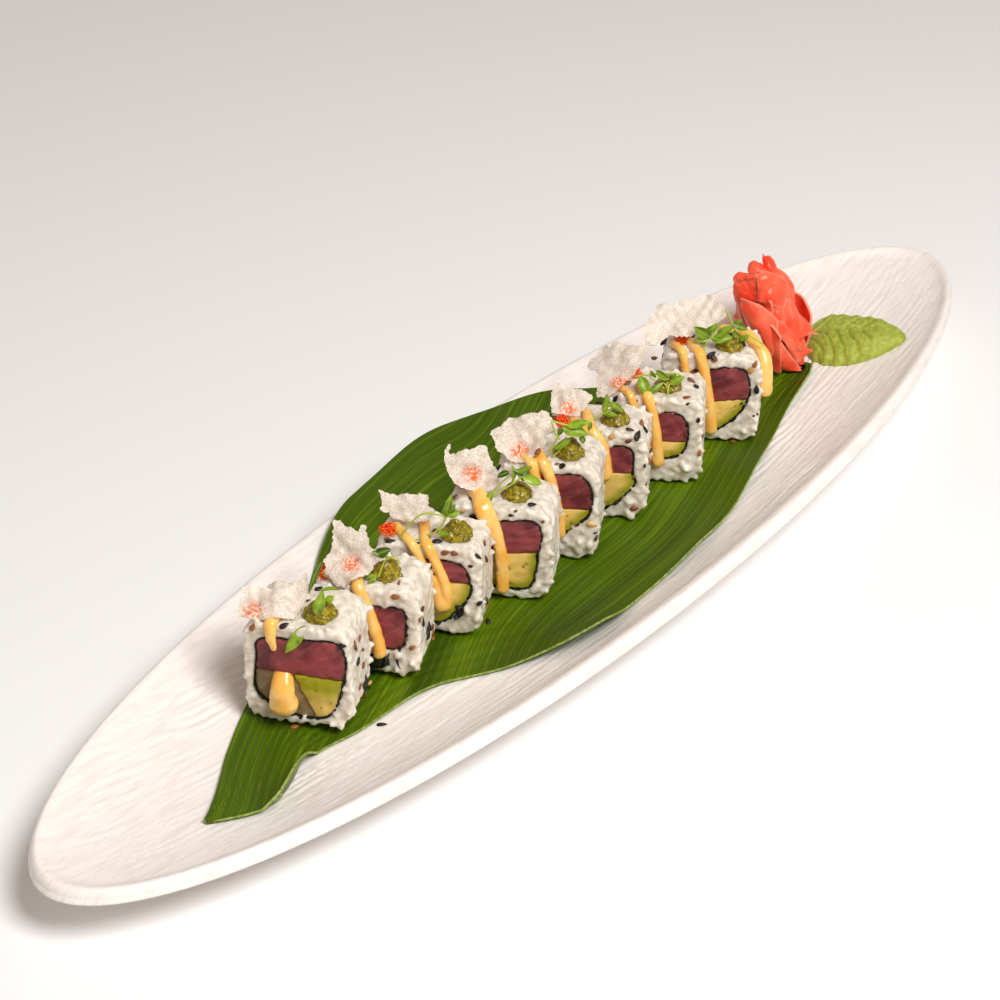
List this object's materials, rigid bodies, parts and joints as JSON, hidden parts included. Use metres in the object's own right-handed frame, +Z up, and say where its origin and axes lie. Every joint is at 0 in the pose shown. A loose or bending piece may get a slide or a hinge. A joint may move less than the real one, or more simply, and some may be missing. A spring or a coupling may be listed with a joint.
{
  "type": "uramaki sushi roll on a platter",
  "caption": "Long oval stoneware platter with cut inside-out sushi rolls in a row on a green leaf, topped with sauce, crisps and cress, with pickled ginger and a carved paste leaf.",
  "frame": {"origin": "middle of the platter's flat foot, on the surface that it stands on", "axes": "+X along the platter, from the leaf's pointed end towards the ginger, +Y across it, away from the cut faces' near side, +Z up"},
  "size_m": [0.4498, 0.1156, 0.0577],
  "materials": {
    "stoneware": "matt, hand-carved ripple",
    "leaf": "waxy satin with fine veins",
    "rice": "moist cooked grains",
    "seaweed": "dull, slightly crinkled",
    "tuna": "moist raw fish",
    "avocado": "soft and smooth, brown specks",
    "pale_fish": "moist and slightly glassy",
    "crisp": "dry, blistered and slightly see-through",
    "relish": "oily chopped pulp",
    "cress": "fresh thin leaves",
    "ginger": "moist thin slices",
    "horseradish_paste": "soft matt paste, carved",
    "sauce": "thick glossy sauce",
    "seeds": "roasted sesame",
    "roe": "wet translucent grains"
  },
  "bodies": {
    "root": {"avocado_1": "avocado", "avocado_3": "avocado", "avocado_4": "avocado", "avocado_5": "avocado", "avocado_6": "avocado", "avocado_7": "avocado", "avocado_8": "avocado", "crisp_1": "crisp", "crisp_2": "crisp", "crisp_3": "crisp", "crisp_4": "crisp", "crisp_5": "crisp", "crisp_6": "crisp", "crisp_7": "crisp", "crisp_8": "crisp", "ginger": "ginger", "leaf": "leaf", "nori_1": "seaweed", "nori_2": "seaweed", "nori_3": "seaweed", "nori_4": "seaweed", "nori_5": "seaweed", "nori_6": "seaweed", "nori_7": "seaweed", "nori_8": "seaweed", "plate": "stoneware", "relish_1": "relish", "relish_2": "relish", "relish_3": "relish", "relish_4": "relish", "relish_5": "relish", "relish_6": "relish", "relish_7": "relish", "relish_8": "relish", "rice_1": "rice", "rice_2": "rice", "rice_3": "rice", "rice_4": "rice", "rice_5": "rice", "rice_6": "rice", "rice_7": "rice", "rice_8": "rice", "sprig_1": "cress", "sprig_2": "cress", "sprig_3": "cress", "sprig_4": "cress", "sprig_5": "cress", "sprig_6": "cress", "sprig_7": "cress", "sprig_8": "cress", "tuna_1": "tuna", "tuna_2": "tuna", "tuna_3": "tuna", "tuna_4": "tuna", "tuna_5": "tuna", "tuna_6": "tuna", "tuna_7": "tuna", "tuna_8": "tuna", "wasabi": "horseradish_paste", "white_fish_1": "pale_fish"}
  },
  "joints": []
}
